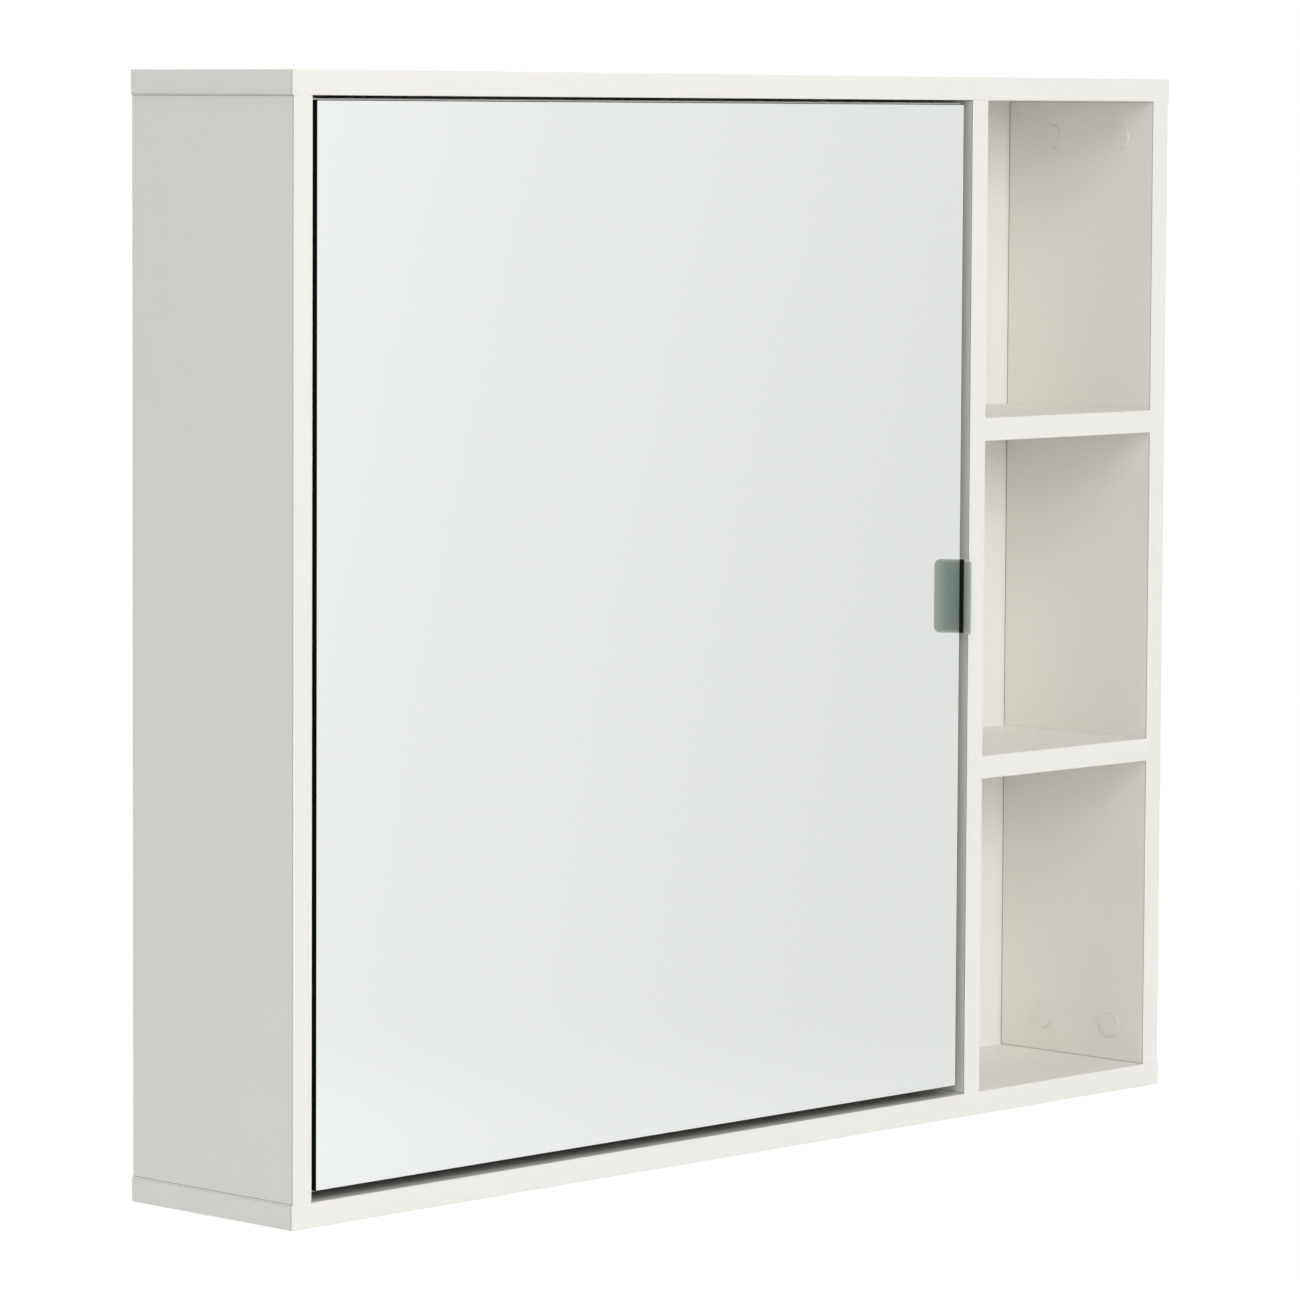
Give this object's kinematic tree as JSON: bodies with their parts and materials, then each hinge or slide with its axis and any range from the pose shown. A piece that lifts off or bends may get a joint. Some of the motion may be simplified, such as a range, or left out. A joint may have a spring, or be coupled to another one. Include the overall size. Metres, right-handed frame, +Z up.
{
  "type": "bathroom mirror cabinet",
  "caption": "Wall-hung white cabinet with an inset mirror door on cup hinges, shelves behind it and a column of open bays at the right.",
  "frame": {"origin": "on the wall plane, midway between the two keyholes that hang the cabinet", "axes": "+X to the viewer's right along the width, +Y into the wall, +Z up"},
  "size_m": [0.8, 0.1564, 0.68],
  "materials": {
    "white_board": "satin melamine with edge banding",
    "back_board": "smooth white lacquered hardboard",
    "mirror": "polished silvered glass",
    "mirror_tape": "foam tape",
    "tab_metal": "smooth grey lacquer",
    "nickel": "nickel-plated pressed steel",
    "screw_steel": "zinc-plated",
    "cam_zinc": "die-cast zinc",
    "white_plastic": "moulded, fine matt",
    "beech": "raw beech",
    "magnet": "ferrite magnet"
  },
  "bodies": {
    "cabinet": {"back_panel": "back_board", "bottom_panel": "white_board", "cabinet_shelf_lower": "white_board", "cabinet_shelf_upper": "white_board", "cam_bolts": "screw_steel", "cam_covers": "white_plastic", "cam_locks": "cam_zinc", "carcass_dowels": "beech", "catch_housing": "white_plastic", "catch_magnet": "magnet", "catch_screws": "screw_steel", "divider_panel": "white_board", "hanger_plate_left": "screw_steel", "hanger_plate_right": "screw_steel", "hanger_screws": "screw_steel", "hinge_arm_lower": "nickel", "hinge_arm_screws": "screw_steel", "hinge_arm_upper": "nickel", "hinge_plate_lower": "nickel", "hinge_plate_screws": "screw_steel", "hinge_plate_upper": "nickel", "left_side_panel": "white_board", "open_shelf_lower": "white_board", "open_shelf_upper": "white_board", "right_side_panel": "white_board", "shelf_dowels": "beech", "shelf_pins": "screw_steel", "top_panel": "white_board"},
    "door": {"door_board": "white_board", "mirror_adhesive": "mirror_tape", "mirror_glass": "mirror", "tab_pull": "tab_metal", "tab_tape": "mirror_tape", "strike_plate": "screw_steel", "strike_screws": "screw_steel", "hinge_cup_upper": "nickel", "hinge_cup_lower": "nickel", "hinge_pin_upper": "nickel", "hinge_pin_lower": "nickel", "hinge_cup_screws": "screw_steel"}
  },
  "joints": [
    {"name": "door_hinge", "type": "hinge", "parent": "cabinet", "child": "door", "pos_m": [-0.3665, -0.1289, -0.27035], "axis": [0, 0, -1], "range_deg": [0, 95]}
  ]
}
